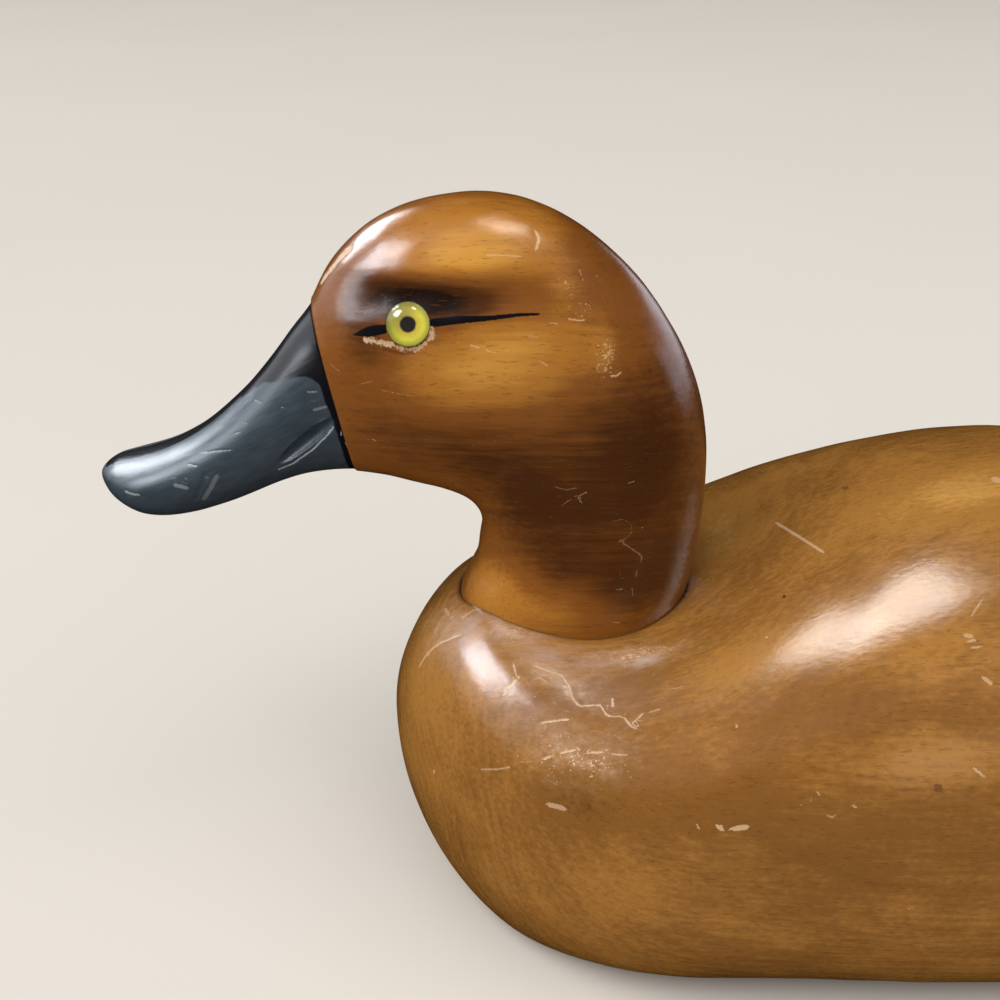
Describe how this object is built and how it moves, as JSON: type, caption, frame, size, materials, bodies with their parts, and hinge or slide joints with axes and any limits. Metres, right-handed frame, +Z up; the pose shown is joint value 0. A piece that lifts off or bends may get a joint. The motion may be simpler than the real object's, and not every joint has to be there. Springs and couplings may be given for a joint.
{
  "type": "duck decoy",
  "caption": "Carved wooden duck decoy with an upright head, painted bill and inset glass eyes, standing on its flat underside as a lure or an ornament.",
  "frame": {"origin": "middle of the decoy's outline, on the plane its underside rests on", "axes": "+X from the bill to the tail, +Y from the decoy's left side to its right side, +Z up"},
  "size_m": [0.3878, 0.1524, 0.186],
  "materials": {
    "body_wood": "honey stain under worn varnish, scratched and rubbed",
    "head_wood": "brown stain under varnish, bill painted satin slate grey with a black band at its root",
    "eye_glass": "polished clear dome over a yellow iris and a black pupil"
  },
  "bodies": {
    "root": {"body": "body_wood", "head": "head_wood", "eye_left": "eye_glass", "eye_right": "eye_glass"}
  },
  "joints": []
}
